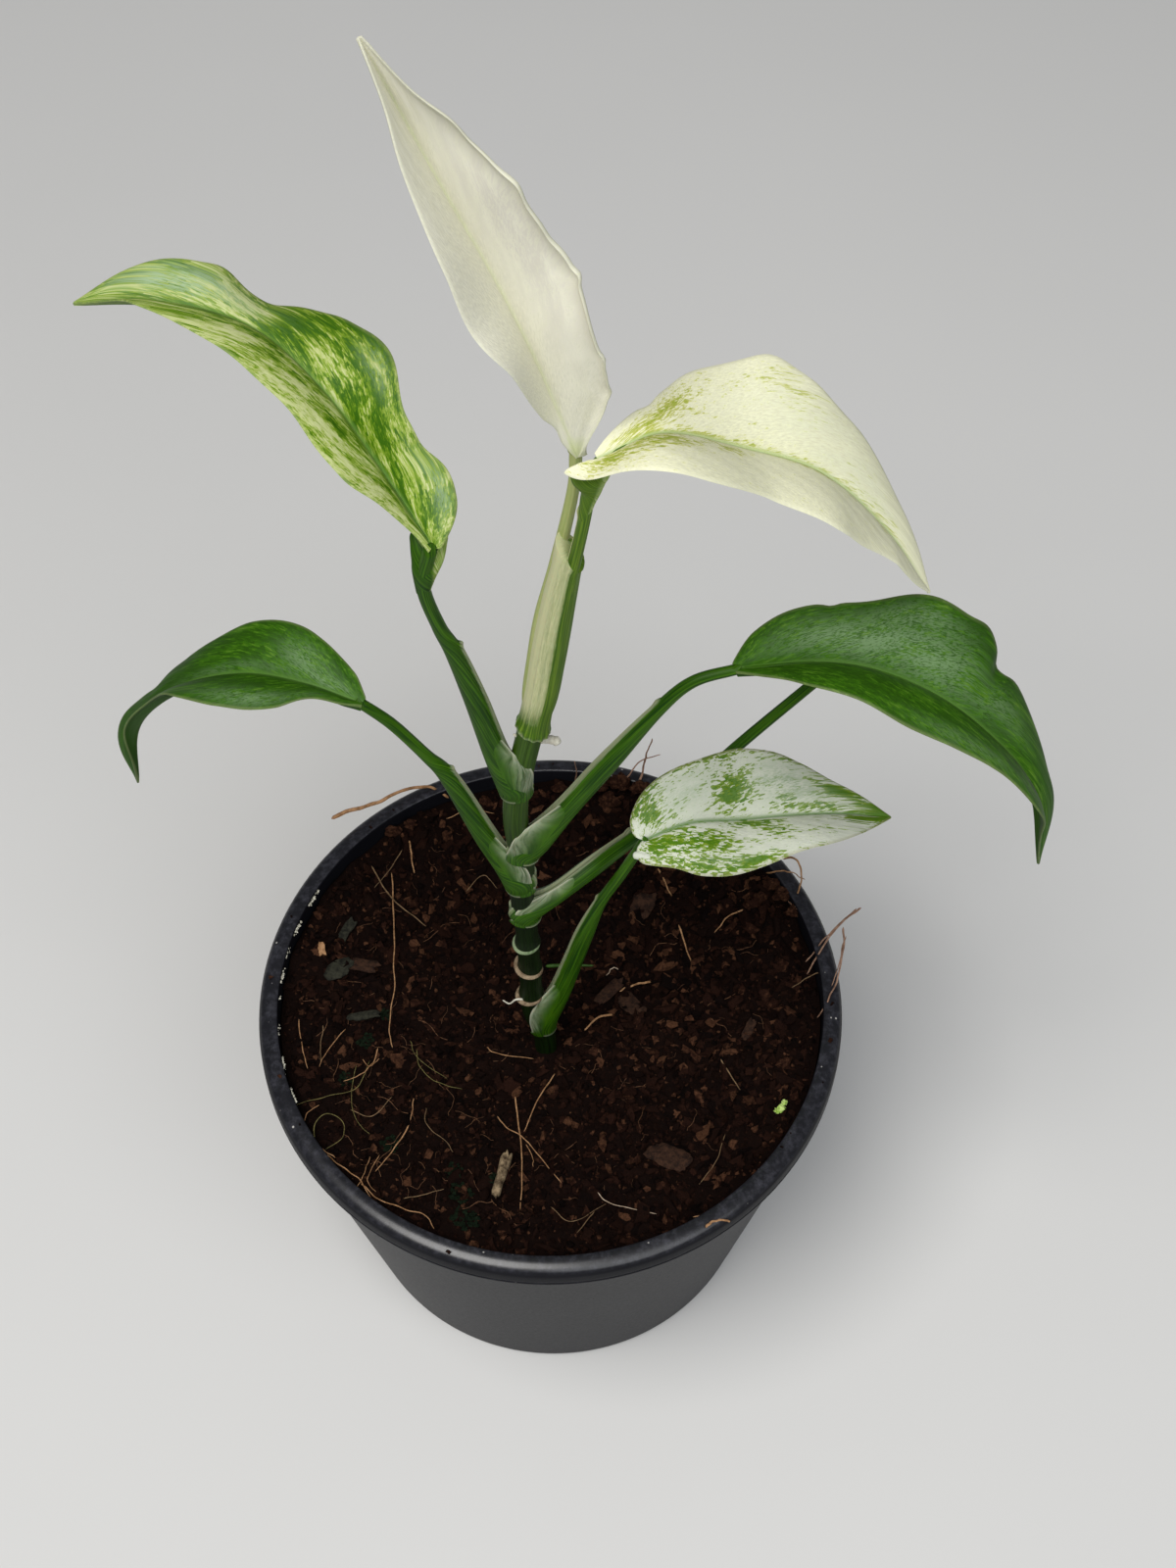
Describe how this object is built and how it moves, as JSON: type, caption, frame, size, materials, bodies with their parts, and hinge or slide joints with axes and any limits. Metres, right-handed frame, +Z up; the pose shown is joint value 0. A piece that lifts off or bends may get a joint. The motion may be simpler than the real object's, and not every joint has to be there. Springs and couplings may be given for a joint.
{
  "type": "potted monstera",
  "caption": "Small potted monstera with lance-shaped, partly white-variegated leaves on long stalks along one upright cane, in a tapered black plastic nursery pot filled with dark soil.",
  "frame": {"origin": "middle of the pot's flat base, on the surface that it stands on", "axes": "+Z up along the pot's axis; -Y is the side that the plant shows best, with its leaves spread to -X and +X"},
  "size_m": [0.1742, 0.13, 0.353],
  "materials": {
    "pot_plastic": "smooth satin black moulded plastic",
    "soil_mix": "matte, crumbly coir and bark mix",
    "cane_green": "smooth green cane with a waxy sheen",
    "leaf_marbled": "white blade with green marbling, soft sheen",
    "leaf_green": "dark green blade with a waxy sheen",
    "leaf_mottled": "green blade with yellow-green and cream streaks, soft sheen",
    "leaf_cream": "cream blade with sparse green flecks, soft sheen",
    "leaf_white": "white new blade, soft sheen"
  },
  "bodies": {
    "root": {"pot": "pot_plastic", "soil": "soil_mix", "cane": "cane_green", "leaf_1_marbled": "leaf_marbled", "leaf_2_back": "leaf_green", "leaf_3_left": "leaf_green", "leaf_4_right": "leaf_green", "leaf_5_mottled": "leaf_mottled", "leaf_6_cream": "leaf_cream", "leaf_7_new": "leaf_white"}
  },
  "joints": []
}
